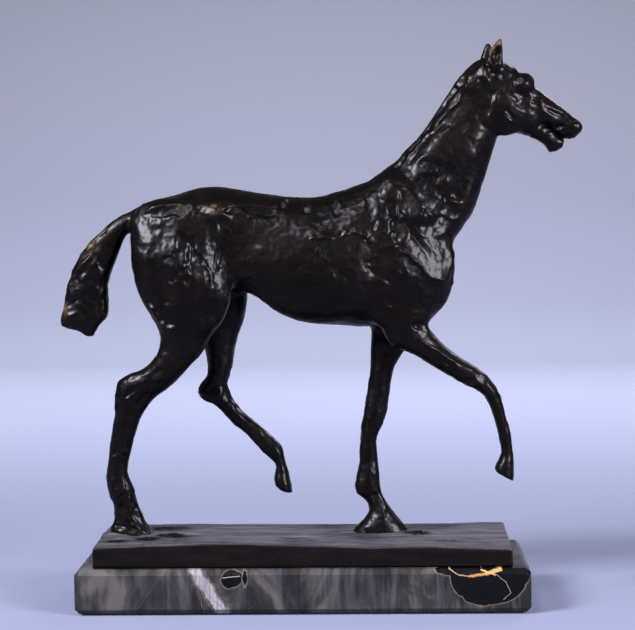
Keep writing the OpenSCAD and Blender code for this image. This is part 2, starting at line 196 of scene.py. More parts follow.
RIGHT_EAR = [
    (128, 322, 141, 322, -6, 4.4), (128.6, 328.5, 141, 329.5, -6.8, 4.4),
    (130.2, 333.6, 140.8, 335, -7.5, 3.8), (132.8, 338, 140.5, 339.5, -8, 3.1),
    (136, 342, 140.2, 343, -8.5, 2.1), (138.3, 344.5, 139.8, 344.7, -8.7, 1.1),
]
LEFT_EAR = [
    (123.5, 320, 135, 320, 6, 4.4), (125.5, 329, 135.5, 329, 6.8, 3.8), (127.4, 335.5, 135, 335, 7.5, 3.2),
    (129, 340, 134.2, 339.6, 8, 2.6), (130.6, 342.4, 133, 342.2, 8.2, 1.5),
]
RIGHT_HIND = [
    (-110, 226, -68, 232, -10, 9), (-115.5, 214, -56, 220, -15, 14.5), (-116, 197, -52, 200, -17.5, 17.5),
    (-114, 182, -50, 184, -18.5, 18), (-110, 168, -50, 170, -18.5, 17),
    (-105, 157.5, -53.5, 157, -18.5, 15.5), (-100.2, 148.5, -58, 147.5, -18, 14),
    (-98, 141.8, -64, 140, -17.5, 12.8), (-98.2, 135, -69.5, 129.8, -17, 12),
    (-101, 127.5, -77, 122, -16.5, 11.4), (-106, 121.8, -84.5, 113.8, -16, 10.6),
    (-112.5, 117.6, -95, 104.4, -15, 9.8), (-121.3, 114.4, -103.5, 98.2, -14, 9.2),
    (-128.3, 109, -109, 91.3, -12.8, 8.8), (-130.6, 101, -113.5, 84.3, -12, 8.4),
    (-130.6, 90, -116, 77, -11.2, 7.4), (-133.2, 75, -118.3, 70, -10.2, 6.4),
    (-135.3, 60.5, -121, 60, -9.2, 5.9), (-137.5, 47, -123.6, 48.5, -8, 6),
    (-138, 40, -122.8, 42, -7.4, 6.6), (-137.2, 34, -119.4, 34, -6.9, 7.4),
    (-136, 28, -118.6, 28.5, -6.4, 7.4), (-133.8, 21.5, -116, 20, -5.9, 6.9),
    (-133, 15, -113.6, 13.5, -5.4, 7.4), (-134.4, 9, -110.4, 8, -5, 8.8), (-135.5, 4, -106.4, 3, -5, 10.5),
    (-136, -1.5, -103.5, -1.5, -5, 11.5),
]
LEFT_HIND = [
    (-110, 226, -68, 232, 10, 9), (-116.5, 214, -54, 220, 15, 14.5), (-114, 197, -45, 200, 17.5, 17),
    (-106, 182, -40.5, 185, 18, 17), (-96, 168, -39.5, 170.5, 18, 16), (-86, 156, -41, 157.5, 18, 14.5),
    (-78, 147, -44, 147, 18, 13), (-73, 139, -46.8, 139, 17.5, 11.5), (-69.5, 129, -49, 129, 17, 10.5),
    (-68, 118, -51, 118, 16.5, 9.6), (-68.5, 111, -53.3, 110, 16.2, 9), (-72.5, 106, -54.3, 105, 16, 8.8),
    (-75, 99, -52.4, 98, 15.5, 8.5), (-70.5, 93.3, -50, 93.5, 15.2, 8), (-64.5, 91.3, -46.8, 89.5, 15, 7.5),
    (-58.5, 86, -44.5, 86.5, 14.6, 7), (-51.5, 78.2, -42.2, 84, 14.2, 6.3),
    (-41, 69.6, -33.6, 76.8, 13.6, 5.9), (-31, 58.8, -23.2, 67.8, 13, 6.4),
    (-24.5, 52.8, -16, 60.2, 12.6, 7), (-20.4, 49.2, -14.4, 52.8, 12.4, 6.5),
    (-19.4, 46.2, -13.4, 47.9, 12.3, 6.2), (-20, 42, -12, 43, 12.2, 6.8), (-21.2, 37.4, -10.8, 38, 12, 8),
    (-20, 32.6, -9.6, 33, 12, 8.8), (-16.8, 29.8, -9, 28, 12, 8.2),
]
RIGHT_FORE = [
    (60, 196, 104, 196, -10, 12), (53, 176, 100, 178, -12, 13), (53.5, 162, 94, 163, -13.5, 12),
    (55.5, 149, 88.5, 151, -14, 11.2), (59, 138.5, 87.2, 146, -14, 10.8), (63.5, 133, 88, 145, -14, 10.5),
    (71, 130.2, 89, 143.5, -14, 10.1), (78.8, 127, 90.6, 141.5, -14, 9.7), (87.7, 121, 96.8, 134.6, -14, 9),
    (97.6, 115, 105.7, 127.4, -14, 8.3), (109.5, 108, 117, 120.2, -14, 7.9),
    (118.4, 103.6, 125.6, 113.9, -13.9, 7.7), (122.8, 101, 130.6, 108.6, -13.7, 7.5),
    (126.3, 98, 134.5, 102.8, -13.5, 7.1), (129.2, 93.6, 137.9, 95.4, -13.4, 6.4),
    (131.2, 88.3, 139.9, 88, -13.2, 5.9), (133.1, 82.4, 141.4, 82, -13, 5.4),
    (136.1, 70.5, 144.4, 70.5, -12.8, 5), (137.8, 62.5, 145.4, 62.5, -12.6, 4.9),
    (138, 57.5, 145.9, 57.8, -12.5, 5.1), (136.6, 53.6, 146.2, 54.2, -12.5, 5.9),
    (134.2, 49.7, 146.4, 50.6, -12.5, 6.9), (133.4, 46.7, 146.4, 46.5, -12.5, 7.5),
    (134.8, 44.2, 146.3, 41.6, -12.5, 8), (136.8, 42.7, 145.9, 38.6, -12.5, 7.8),
]
LEFT_FORE = [
    (60, 196, 102, 196, 10, 12), (50, 176, 94, 178, 11.5, 13), (49.3, 160, 84, 161, 12.5, 11.6),
    (49, 147, 78, 147, 12.7, 10.4), (48.6, 137, 74.5, 137, 12.6, 9.8), (48.2, 128.5, 71, 128.5, 12.5, 9),
    (48, 121, 66.6, 121, 12.3, 8.5), (47.5, 113, 63, 113.5, 12, 8), (46, 103, 61.2, 103.5, 11.8, 7.6),
    (44, 93, 60, 93.5, 11.5, 7.5), (42.3, 83, 58.4, 84, 11.2, 7.4), (41.2, 75, 55.5, 76, 10.9, 7),
    (40.8, 69, 52, 69.5, 10.6, 6.2), (40.5, 64, 50.8, 64, 10.4, 5.6), (40, 56, 51, 56, 10.2, 5.2),
    (39, 47.5, 52, 47.5, 10, 5.5), (37.2, 38, 53, 38, 9.8, 6.6), (36, 31.5, 53.3, 32, 9.6, 7.2),
    (37.2, 27.2, 54, 28, 9.4, 7), (42.8, 23, 55.8, 24.2, 9.2, 6.5), (45.8, 19, 58.2, 19.8, 9.1, 6.3),
    (46, 15, 61.2, 15.5, 9, 6.8), (43.4, 10.5, 65.2, 10.5, 9, 8.4), (38.6, 5.5, 69.6, 5.5, 9, 10.2),
    (34.6, 0.5, 73.4, 0.5, 9, 11.2), (34, -2.5, 74.5, -2.5, 9, 11.5),
]
TAIL = [
    (-104, 234, -108, 216, 0, 7), (-112, 231.3, -116, 214, 0, 7), (-118, 228.6, -120, 213.5, 0, 7),
    (-129.5, 223, -124, 210, 0, 7.4), (-140, 214.5, -128.2, 200, 0, 8), (-150.3, 204, -132, 190, 0, 8.6),
    (-157.6, 193.5, -134.6, 183, 0, 8.8), (-162.6, 182, -136, 177, 0, 8.8),
    (-165.2, 171.5, -136.2, 170, 0, 8.6), (-167.6, 160, -135.8, 160, 0, 8),
    (-169.8, 152.5, -136.8, 155, 0, 7.4), (-169.5, 148.5, -139.4, 152, 0, 6.4),
    (-163, 146, -142.7, 148.4, 0, 5.4), (-156, 143.6, -145, 144.6, 0, 4.2),
    (-151.2, 141, -146.8, 141, 0, 2.6),
]

# The block of clay the horse is formed in, and the extra flesh all round its legs
HORSE_BLOCK = (-182, -46, -6), (206, 46, 354)
LEG_FLESH = 0.4
# Muscles and bones on both sides: x, y, z, then the three half sizes, the tilt in degrees, and how
# softly each is worked in.
BOTH_SIDES = [
    (-58, 24, 226, 10, 7, 6, 0, 6), (-88, 15, 220, 26, 14, 16, -8, 8), (-105, 14, 192, 10, 12, 28, 6, 8),
    (-62, 25, 172, 11, 9, 20, 8, 8), (8, 18, 184, 40, 16, 32, 0, 10), (74, 15, 220, 12, 9, 32, 28, 8),
    (91, 12, 190, 12, 11, 18, 0, 7), (66, 19, 182, 16, 10, 18, 20, 7), (56, 18, 158, 7, 7, 10, 0, 6),
    (93.5, 8, 172, 10, 8, 18, -20, 6), (142, 7, 293, 14, 7, 15, 0, 5), (156, 6.2, 315, 6.4, 5, 6, 0, 3),
    (154.6, 8.6, 312.6, 6.6, 5.8, 6.2, 0, 2), (127, 8.5, 320, 5, 4.5, 7, 10, 3),
    (119, 8, 314, 5, 5, 7, -30, 4), (189, 4.8, 284, 5.4, 3.6, 5.4, -30, 2),
    (168, 5.5, 296, 10, 4.5, 4, -38, 3), (110, 10, 262, 10, 6, 26, -30, 6), (92, 11, 262, 9, 6, 24, -34, 6),
    (-74, 20, 188, 8, 8, 34, -14, 6), (168, 3.5, 281, 9, 3.4, 3.4, -20, 1.5),
]
# Hollows on both sides, in the same form
HOLLOWS = [
    (-44, 40, 206, 14, 9, 16, -20, 9), (51, 42, 196, 5, 9, 28, -12, 8), (-96, 45, 178, 7, 12, 30, 8, 8),
    (135.5, 14.8, 320.5, 5.2, 5.4, 5.6, 0, 2), (155, 14, 304.6, 7, 3.6, 2.8, -20, 1.5),
    (180, 9.6, 291, 9, 2.2, 2, -30, 2), (191, 9.6, 287, 2.4, 2.6, 1.5, -40, 1.2),
    (151, 14.5, 302, 8, 3, 3, -40, 3), (-60, 41, 206, 3, 9, 26, 2, 4), (108, 24, 238, 5, 9, 26, -30, 7),
    (78, 31, 208, 4, 9, 22, 35, 6), (176, 9, 282.5, 8, 4.4, 2.2, 18, 1), (70, 34, 232, 4, 10, 22, -30, 6),
]
# The ears' hollows: place, half sizes, tilt in degrees, yaw in radians
EAR_CUPS = [((136.4, -12.2, 333), (3.7, 5.6, 7.2), -20, 0.3), ((131, 10.6, 333), (2.4, 2.6, 4.8), -14, 0)]


def horse_clay():
    clay = Clay(*HORSE_BLOCK)
    clay.add_mesh(tube(BARREL, egg=0.12), 1)
    clay.add_mesh(tube(THROUGH_NECK, egg=0.1), 8)
    for rows in (RIGHT_HIND, LEFT_HIND, RIGHT_FORE, LEFT_FORE):
        clay.add_mesh(tube(rows, grow=LEG_FLESH), 7)
    clay.add_mesh(tube(TAIL, square=2.6), 4)
    clay.add_mesh(tube(NOSE), 5)
    clay.add_mesh(tube(JAW), 1)
    for work, places in ((clay.join, BOTH_SIDES), (clay.carve, HOLLOWS)):
        for x, y, z, a, b, c, tilt, soft in places:
            for side in (-1, 1):
                work(*clay.ball((x, side * y, z), (a, b, c), math.radians(tilt)), soft)
    for ear in (RIGHT_EAR, LEFT_EAR):
        clay.add_mesh(tube(ear, sides=24), 1.5)
    for place, radii, tilt, yaw in EAR_CUPS:
        clay.carve(*clay.ball(place, radii, math.radians(tilt), yaw), 0.6)
    return clay


# ---------------------------------------------------------------- hand-worked surface

RNG = np.random.default_rng(7)
LATTICE = RNG.random((32, 32, 32)).astype(np.float64)


def noise(points, size, shift=0.0):
    """Smooth noise from -1 to 1 with features of about that size."""
    at = points / size + shift
    low = np.floor(at).astype(int)
    t = at - low
    t = t * t * (3 - 2 * t)
    total = np.zeros(len(points))
    for dx in (0, 1):
        for dy in (0, 1):
            for dz in (0, 1):
                weight = (
                    np.where(dx, t[:, 0], 1 - t[:, 0])
                    * np.where(dy, t[:, 1], 1 - t[:, 1])
                    * np.where(dz, t[:, 2], 1 - t[:, 2])
                )
                corner = (low + np.array([dx, dy, dz])) % 32
                total += weight * LATTICE[corner[:, 0], corner[:, 1], corner[:, 2]]
    return 2 * total - 1


def vertex_normals(points, quads):
    a, b, c, d = (points[quads[:, i]] for i in range(4))
    face = np.cross(c - a, d - b)
    out = np.zeros_like(points)
    for i in range(4):
        for axis in range(3):
            out[:, axis] += np.bincount(quads[:, i], weights=face[:, axis], minlength=len(points))
    return out / np.maximum(np.linalg.norm(out, axis=1), 1e-9)[:, None]


def pads(points, size, seed, blend):
    """Height of overlapping flat dabs of wax, from about -1 to 1."""
    rng = np.random.default_rng(seed)
    count = max(40, int(len(points) * VOXEL**2 * 1.3 / size**2))
    centres = points[rng.integers(0, len(points), count)]
    tilts = rng.normal(0, 0.18, (count, 3))
    rises = rng.uniform(-0.6, 0.6, count)
    tree = KDTree(count)
    for i, c in enumerate(centres):
        tree.insert(c, i)
    tree.balance()
    found = [tree.find_n(p, 3) for p in points.tolist()]
    index = np.array([[f[1] for f in row] for row in found])
    far = np.array([[f[2] for f in row] for row in found])
    weight = np.exp(-(far - far[:, :1]) / (blend * size))
    heights = rises[index] + np.einsum("ijk,ijk->ij", tilts[index], points[:, None, :] - centres[index])
    return np.clip((weight * heights).sum(axis=1) / weight.sum(axis=1), -1.4, 1.4)


def stroke(points, line, width, kind):
    """How much a tool stroke along a line in side view lifts each point, from 0 to 1. A ridge is even
    on both sides; an edge falls away gently on the left of its direction and sharply on the right."""
    best = np.full(len(points), 1e9)
    side = np.zeros(len(points))
    at = np.zeros(len(points))
    px, pz = points[:, 0], points[:, 2]
    line = smooth_rows([(x, z, x, z) for x, z in line], 2)[:, :2]
    travelled = 0.0
    for (ax, az), (bx, bz) in zip(line, line[1:]):
        length = math.hypot(bx - ax, bz - az)
        ux, uz = (bx - ax) / length, (bz - az) / length
        t = np.clip((px - ax) * ux + (pz - az) * uz, 0, length)
        gap = np.hypot(px - ax - t * ux, pz - az - t * uz)
        closer = gap < best
        best = np.where(closer, gap, best)
        at = np.where(closer, travelled + t, at)
        side = np.where(closer, np.sign(ux * (pz - az) - uz * (px - ax)), side)
        travelled += length
    ends = np.clip(np.minimum(at, travelled - at) / (1.6 * width), 0, 1)
    if kind == "edge":
        return ends * np.exp(-best / np.where(side > 0, width, width * 0.22))
    return ends * np.exp(-((best / width) ** 2))


# Tool strokes, drawn on the horse's right side and repeated, a little moved, on its left:
# kind, height, width, and the line in side view
STROKES = [
    ("edge", 1.5, 2.6, [(-60, 229), (-50, 230.5), (-30, 230.5), (-13, 230.5)]),
    ("edge", 0.9, 4, [(-110, 226), (-98, 231), (-80, 232), (-62, 231)]),
    ("ridge", -1.2, 2.2, [(-38, 226), (-28, 225), (-15, 226.5)]),
    ("ridge", -1.4, 1.8, [(-52, 225), (-56, 212), (-57, 198), (-58, 186)]),
    ("edge", 1.2, 2.6, [(-62, 172), (-65, 180), (-69, 192), (-71, 204)]),
    ("ridge", -1.0, 1.6, [(-74, 206), (-75, 196), (-80, 186), (-77, 176)]),
    ("edge", 1.5, 2.2, [(-85, 147.5), (-90, 148), (-96, 153), (-100, 160), (-106, 165)]),
    ("ridge", 0.7, 1.5, [(-94, 165), (-86, 162)]),
    ("ridge", 0.8, 1.4, [(-92, 180), (-86, 178), (-82, 181)]),
    ("edge", 1.6, 2.6, [(-52, 166), (-50, 174), (-45, 181), (-38, 184), (-33, 184)]),
    ("edge", 1.9, 2.8, [(27, 209), (31, 211.4), (36, 212.3), (42, 210.5), (47, 206.5), (50, 202)]),
    ("edge", 1.8, 2.8, [(4, 206.5), (10, 208.5), (15.5, 209.6), (23, 208)]),
    ("ridge", 0.8, 1.6, [(11, 203), (15, 196), (20, 193)]),
    ("edge", 1.3, 2.6, [(44, 192), (52, 197), (60, 201), (68, 203)]),
    ("ridge", -1.3, 1.8, [(43, 189), (52, 184), (62, 177)]),
    ("ridge", 1, 1.3, [(58, 170), (58.5, 165), (59, 161), (62.5, 161)]),
    ("ridge", 0.9, 1.3, [(66, 158), (71, 161), (76, 166)]),
    ("edge", 1.6, 3, [(84, 218), (83, 226), (80, 234), (70, 244)]),
    ("edge", 1.6, 3.0, [(66, 201), (74, 196), (82, 188), (89, 182), (96, 179), (104, 180)]),
    ("ridge", 0.9, 1.6, [(101, 237), (106, 233), (112, 230)]),
    ("ridge", 0.7, 1.6, [(88, 224), (100, 224), (106, 221), (112, 222)]),
    ("edge", 1.3, 3, [(70, 257), (80, 268), (92, 281), (101, 292), (110, 303), (118, 316)]),
    ("ridge", -1.1, 1, [(141, 295), (148, 290)]),
    ("ridge", 0.8, 1.1, [(140.5, 292.5), (147.5, 287.5)]),
    ("ridge", 0.6, 1.3, [(158, 304), (163, 301.5), (168, 299)]),
    ("ridge", 0.45, 1.4, [(164, 301), (172, 298), (182, 294)]),
    ("ridge", -0.6, 1.2, [(160, 301), (167, 297), (175, 294), (183, 291)]),
    ("ridge", 0.7, 1.1, [(168, 289), (175, 288), (183, 286.5), (190, 283)]),
    ("ridge", -0.7, 1.2, [(166, 286), (173, 285), (179, 283.5), (185, 280)]),
    ("ridge", 0.6, 1.8, [(132, 328), (137, 328), (142, 324), (146, 318)]),
    ("ridge", -1.1, 2.2, [(133, 323), (138, 320), (139, 314)]),
    ("ridge", 1, 1.8, [(127, 328), (127, 322), (125, 317)]),
    ("ridge", 0.6, 1.4, [(144, 306), (149, 304), (153, 300)]),
    ("ridge", 0.5, 1.1, [(148, 301), (152, 299), (156, 297)]),
    ("ridge", 0.7, 1.6, [(134, 300), (137, 307), (142, 312)]),
    ("ridge", -0.8, 1.6, [(131, 310), (132, 300), (130, 290)]),
    ("ridge", 0.9, 1.2, [(80, 140), (85, 135), (91, 130.5), (97, 128), (109, 119)]),
    ("ridge", -0.8, 1.2, [(83, 132), (95, 124), (106, 117)]),
    ("ridge", 0.9, 1.4, [(-124, 95), (-119, 100), (-112, 106)]),
    ("ridge", -0.9, 1.4, [(-120, 92), (-112, 98), (-106, 104)]),
    ("ridge", -0.9, 1, [(-136, 58), (-130, 59.5), (-126, 59)]),
    ("ridge", 0.7, 1.2, [(-122, 31), (-121.5, 20), (-116, 8)]),
    ("ridge", -0.8, 1.2, [(-134, 9), (-124, 8), (-112, 5)]),
    ("ridge", 0.8, 1.2, [(-121, 10), (-114, 6), (-108, 1.5)]),
    ("ridge", 0.4, 1.8, [(-52, 92), (-40, 81), (-28, 70)]),
    ("edge", 1, 2, [(57, 9), (54, 18), (50, 26)]),
    ("edge", 1.0, 2.4, [(-151, 198), (-144, 207), (-133, 217)]),
    ("ridge", -0.8, 1.8, [(-160, 182), (-152, 186), (-142, 200)]),
    ("ridge", -0.9, 2, [(-166, 162), (-156, 166), (-146, 160), (-140, 164)]),
    ("ridge", 0.7, 1.6, [(-164, 154), (-157, 158), (-152, 150)]),
]
# Flat cuts on the right side: x, z, half sizes, turn, then the degrees each leans back toward the
# tail and upward, and how much of the old form it takes away
CUTS = [
    (-104.5, 218, 8, 13, 12, 21, 19, 0.75), (-92, 206, 10, 16, 8, 17, 15, 0.72),
    (-83, 228.5, 15, 3.5, 2, 16, 24, 0.8), (-64, 228.5, 5.5, 3, 4, 18, 22, 0.8),
    (-89, 210, 8, 10, 10, 15, 14, 0.75), (-80, 200, 4.2, 14, 6, 20, 15, 0.8),
    (-70.5, 190, 5.2, 17, 22, 19, 14, 0.8), (-61, 160, 6, 7, 0, 15, 15, 0.5),
    (-103.5, 163, 3.4, 2.2, -50, 21, 18, 0.75), (-99.5, 157.5, 3.6, 2.3, -55, 21, 18, 0.75),
    (-95, 152, 3.4, 2.2, -40, 20, 18, 0.75), (-89, 149.5, 4, 2, -8, 20, 19, 0.75),
    (-90, 194, 5, 3.5, 0, 17, 18, 0.6), (-46, 228, 7, 3.2, -14, 12, 22, 0.6),
    (25, 230, 3, 6, 0, 18, 20, 0.6), (-12, 232, 3, 3, 0, 18, 20, 0.7), (5, 228, 3, 2.6, 0, 18, 18, 0.6),
    (50, 230, 4.6, 8.5, 0, 20, 20, 0.85), (63, 229, 3.4, 7, 8, 16, 16, 0.7),
    (76, 231, 5.5, 13, 24, 15, 16, 0.75), (69, 212, 4.6, 8, 20, 19, 18, 0.75),
    (89.5, 200.5, 13, 22, 42, -24, 12, 0.98), (95, 213, 6, 5, 0, -16, 15, 0.6),
    (86, 257, 5, 5, 0, 18, 18, 0.7), (98, 252, 3, 8, 10, 15, 13, 0.6), (88, 242, 5, 5, 0, -12, 20, 0.6),
    (103, 234, 5, 3, -20, 10, 22, 0.6), (57, 216, 4, 5, 0, 16, 16, 0.5),
    (69, 262, 7, 3.4, 50, 20, 20, 0.85), (78, 273.2, 8, 3.4, 50, 20, 20, 0.85),
    (87, 285.2, 8, 3.6, 52, 20, 20, 0.85), (96, 297.2, 8, 3.8, 53, 20, 20, 0.85),
    (104, 308.2, 7, 3.8, 52, 20, 20, 0.85), (111, 316, 5, 3.8, 45, 20, 20, 0.85),
    (128, 292, 4, 6, 0, 16, 13, 0.6), (116, 271, 3.6, 8, 25, -15, 12, 0.5),
    (113, 292, 4, 8, 0, 14, 10, 0.4), (119, 314, 3.4, 4.6, -30, 20, 18, 0.7),
    (137, 328, 4, 2, 0, 15, 24, 0.3), (152, 315.6, 2.6, 2.2, 0, 21, 21, 0.7),
    (164, 301, 4, 2.4, -35, 14, 20, 0.3), (172, 297, 6, 2.4, -38, 8, 20, 0.2),
    (143, 306, 7, 5, -15, 12, 10, 0.3), (82, 147, 5, 3, -25, 10, 20, 0.6),
    (117, 108, 3, 2.4, -40, 0, 22, 0.6), (124, 111, 3, 3, 0, -18, 16, 0.6),
    (140, 72, 2.4, 7, -8, 14, 10, 0.5), (-99, 115, 6, 3, 35, 12, 20, 0.6),
    (-118, 99, 3.5, 6, -35, 18, 14, 0.6), (-128, 92, 3, 5, 0, 22, 8, 0.6),
    (-124, 72, 2.6, 10, -6, -18, 8, 0.6), (-131, 61, 3, 3.5, 0, 20, 4, 0.6),
    (-126, 18, 3, 5, 0, 20, 12, 0.6), (-117, 14, 3, 5, 20, -18, 12, 0.6),
    (-129, 35, 3.6, 5, 0, 16, 14, 0.6), (-37, 80, 14, 3, -43, 8, 16, 0.35),
    (-62, 100, 5, 4, -30, 14, 16, 0.5), (49, 95, 3, 10, 4, 18, 8, 0.5), (44, 42, 3, 6, 0, 18, 10, 0.5),
    (53, 19, 3.4, 8, 20, 14, 16, 0.6), (-160, 178, 4.5, 4, 0, 16, 16, 0.6),
    (-147, 177, 4, 5, 0, -14, 14, 0.5), (-162, 160, 4, 5, 0, 16, 10, 0.6),
    (-151, 200, 3.4, 7, -35, 20, 16, 0.6), (-126, 221, 6, 2.6, 30, 12, 22, 0.6),
    (-2, 205, 5, 6, 0, 12, 12, 0.35), (8, 208.4, 3.2, 2, 20, 18, 20, 0.65),
    (14, 210, 3, 2, 5, 18, 20, 0.65), (30.5, 211.8, 3, 2, 25, 18, 20, 0.7),
    (36, 213, 3.2, 2.2, 0, 18, 20, 0.7), (42.3, 211, 3, 2.2, -30, 18, 20, 0.7),
    (47, 207, 2.6, 2, -50, 18, 19, 0.7), (15, 198, 1.6, 3.6, -35, 17, 16, 0.6),
    (36, 186, 12, 7, -10, 8, 8, 0.3),
]
# How roughly each place is worked: x, z, radius, strength
ROUGH = [
    (92, 250, 12, 1), (128, 308, 16, 0.22), (146, 305, 20, 0.2), (178, 284, 18, 0.1), (62, 190, 22, 0.35),
    (-70, 190, 22, 0.4), (-96, 215, 20, 0.3), (-150, 175, 30, 0.6), (-122, 100, 22, 0.4),
    (-125, 20, 26, 0.5), (50, 60, 60, 0.28), (120, 100, 50, 0.28), (-40, 90, 50, 0.28), (20, 215, 30, 0.22),
]

LEAST_ROUGH = 0.18
# How far the far side's marks are moved, how deep a flat cut goes at most, and how far a stroke wanders
FAR_SIDE_SHIFT = 3.5
DEEPEST_CUT = 3
HAND_WANDER = 1.4
# Places smoothed again after the work: x, z, radius, how much of the lift goes
CALM = [(175, 279, 9, 0.75), (149, 304, 8, 0.35), (135, 319, 7, 0.4)]


def cut_share(points, cut):
    """How much of one flat cut each point feels."""
    x, z, half_x, half_z, turn = cut[:5]
    dx, dz = points[:, 0] - x, points[:, 2] - z
    c, s = math.cos(math.radians(turn)), math.sin(math.radians(turn))
    along, across = dx * c + dz * s, dz * c - dx * s
    wavy = 1 + 0.3 * noise(points, 5.1, x)
    out = np.sqrt((along / half_x) ** 2 + (across / half_z) ** 2) * wavy
    share = np.clip((1.4 - out) / 0.75, 0, 1)
    return share * share * (3 - 2 * share), dx, dz


def cut_lift(points, outward, cut):
    """Lift that brings the skin inside one cut close to a plane of the wanted lean."""
    share, dx, dz = cut_share(points, cut)
    inside = share > 0.6
    if inside.sum() < 8:
        return 0 * outward
    back, up = (math.tan(math.radians(a)) for a in cut[5:7])
    plane = back * dx - up * dz
    plane += np.mean(outward[inside] - plane[inside])
    return share * cut[7] * DEEPEST_CUT * np.tanh((plane - outward) / DEEPEST_CUT)


def worked(points, normals):
    """Offset along the normals, in millimetres, that turns the smooth forms into hand-worked wax."""
    rough = np.full(len(points), LEAST_ROUGH)
    for x, z, radius, strength in ROUGH:
        gap = np.hypot(points[:, 0] - x, points[:, 2] - z) / radius
        rough = np.maximum(rough, strength * np.exp(-(gap**2) * 0.8))
    lift = rough * (0.8 * pads(points, 12, 11, 0.12) + 0.7 * pads(points, 6, 12, 0.2))
    lift += 0.3 * noise(points, 22)
    legs = points[:, 2] < 140
    for mirror in (1, -1):
        near = (mirror * points[:, 1] < 3) | legs
        facing = np.clip(-mirror * normals[:, 1] * 2, 0, 1) * near
        here = np.flatnonzero(facing > 0)
        shift = 0 if mirror == 1 else FAR_SIDE_SHIFT
        probe = points[here] + np.array([shift, 0, shift * 0.6])
        added = np.zeros(len(here))
        depth = -mirror * (points[here, 1] + normals[here, 1] * lift[here])
        for cut in CUTS:
            added += cut_lift(probe, depth + added, cut)
        wander = np.stack([noise(probe, 6, 1.3), 0 * added, noise(probe, 6, 7.7)], axis=1)
        broken = 0.85 + 0.5 * noise(probe, 7, 2.9)
        for kind, height, width, line in STROKES:
            added += height * broken * stroke(probe + HAND_WANDER * wander, line, width, kind)
        lift[here] += facing[here] * added
    lift += np.clip(rough - 0.35, 0, 1) * 0.5 * pads(points, 3.4, 13, 0.1)
    lift += 0.14 * noise(points, 6, 5.3) + (0.1 + 0.14 * rough) * noise(points, 2.3, 9.1)
    for x, z, radius, share in CALM:
        gap = np.hypot(points[:, 0] - x, points[:, 2] - z) / radius
        lift *= 1 - share * np.exp(-(gap**2))
    return lift


# ---------------------------------------------------------------- cutting at the casting joints


def cut_plane(bm, place, normal, inside):
    """Adds an edge loop where a plane crosses those faces."""
    faces = [f for f in bm.faces if inside(f.calc_center_median())]
    edges = {e for f in faces for e in f.edges}
    verts = {v for f in faces for v in f.verts}
    bmesh.ops.bisect_plane(
        bm, geom=faces + list(edges) + list(verts), plane_co=place, plane_no=normal, dist=1e-4
    )


# The joint planes as place and normal, and the x and z that bound each pair of legs
NECK_PLANE = Vector((86, 0, 233.5)), Vector((49, 0, 42)).normalized()
TAIL_PLANE = Vector((-119.5, 0, 215)), Vector((-18, 0, 5)).normalized()
HIND_CUT = 159.0
FORE_CUT = 146.0
HIND_FRONT = -24.0
FORE_BACK = 44.0


def piece_of(c):
    if (c - NECK_PLANE[0]).dot(NECK_PLANE[1]) > 0:
        return "neck_and_head"
    if (c - TAIL_PLANE[0]).dot(TAIL_PLANE[1]) > 0:
        return "tail"
    if c.x < HIND_FRONT and c.z < HIND_CUT:
        return "right_hind_leg" if c.y < 0 else "left_hind_leg"
    if c.x > FORE_BACK and c.z < FORE_CUT:
        return "right_foreleg" if c.y < 0 else "left_foreleg"
    return "trunk"


def store_values(mesh, values):
    for key, data in values.items():
        mesh.attributes.new(key, "FLOAT", "POINT").data.foreach_set("value", data.astype(np.float32))


def smooth(mesh):
    mesh.polygons.foreach_set("use_smooth", [True] * len(mesh.polygons))


def new_object(name, mesh):
    piece = bpy.data.objects.new(name, mesh)
    bpy.context.collection.objects.link(piece)
    return piece


def closed_piece(name, verts, normals, faces, values):
    """A closed mesh from part of the skin, with the skin's own normals, so that no joint line shows."""
    bm = bmesh.new()
    made = [bm.verts.new(v) for v in verts]
    for f in faces:
        bm.faces.new([made[i] for i in f])
    bm.verts.ensure_lookup_table()
    rim = [e for e in bm.edges if e.is_boundary]
    caps = bmesh.ops.holes_fill(bm, edges=rim, sides=0)["faces"]
    for f in bm.faces:
        f.smooth = True
    for f in caps:
        f.smooth = False
    bmesh.ops.triangulate(bm, faces=caps)
    mesh = bpy.data.meshes.new(name)
    bm.to_mesh(mesh)
    bm.free()
    mesh.normals_split_custom_set_from_vertices([tuple(n) for n in normals])
    store_values(mesh, values)
    return new_object(name, mesh)


# Lift and sink, in millimetres, that count as a full crest and a full hollow
HIGH_CREST = 1.2
DEEP_HOLLOW = 0.9


def skin_values(lift):
    """Per-point numbers for the shaders, from 0 to 1: how much of a crest and of a hollow each point is."""
    return {"crest": np.clip(lift / HIGH_CREST, 0, 1), "hollow": np.clip(-lift / DEEP_HOLLOW, 0, 1)}


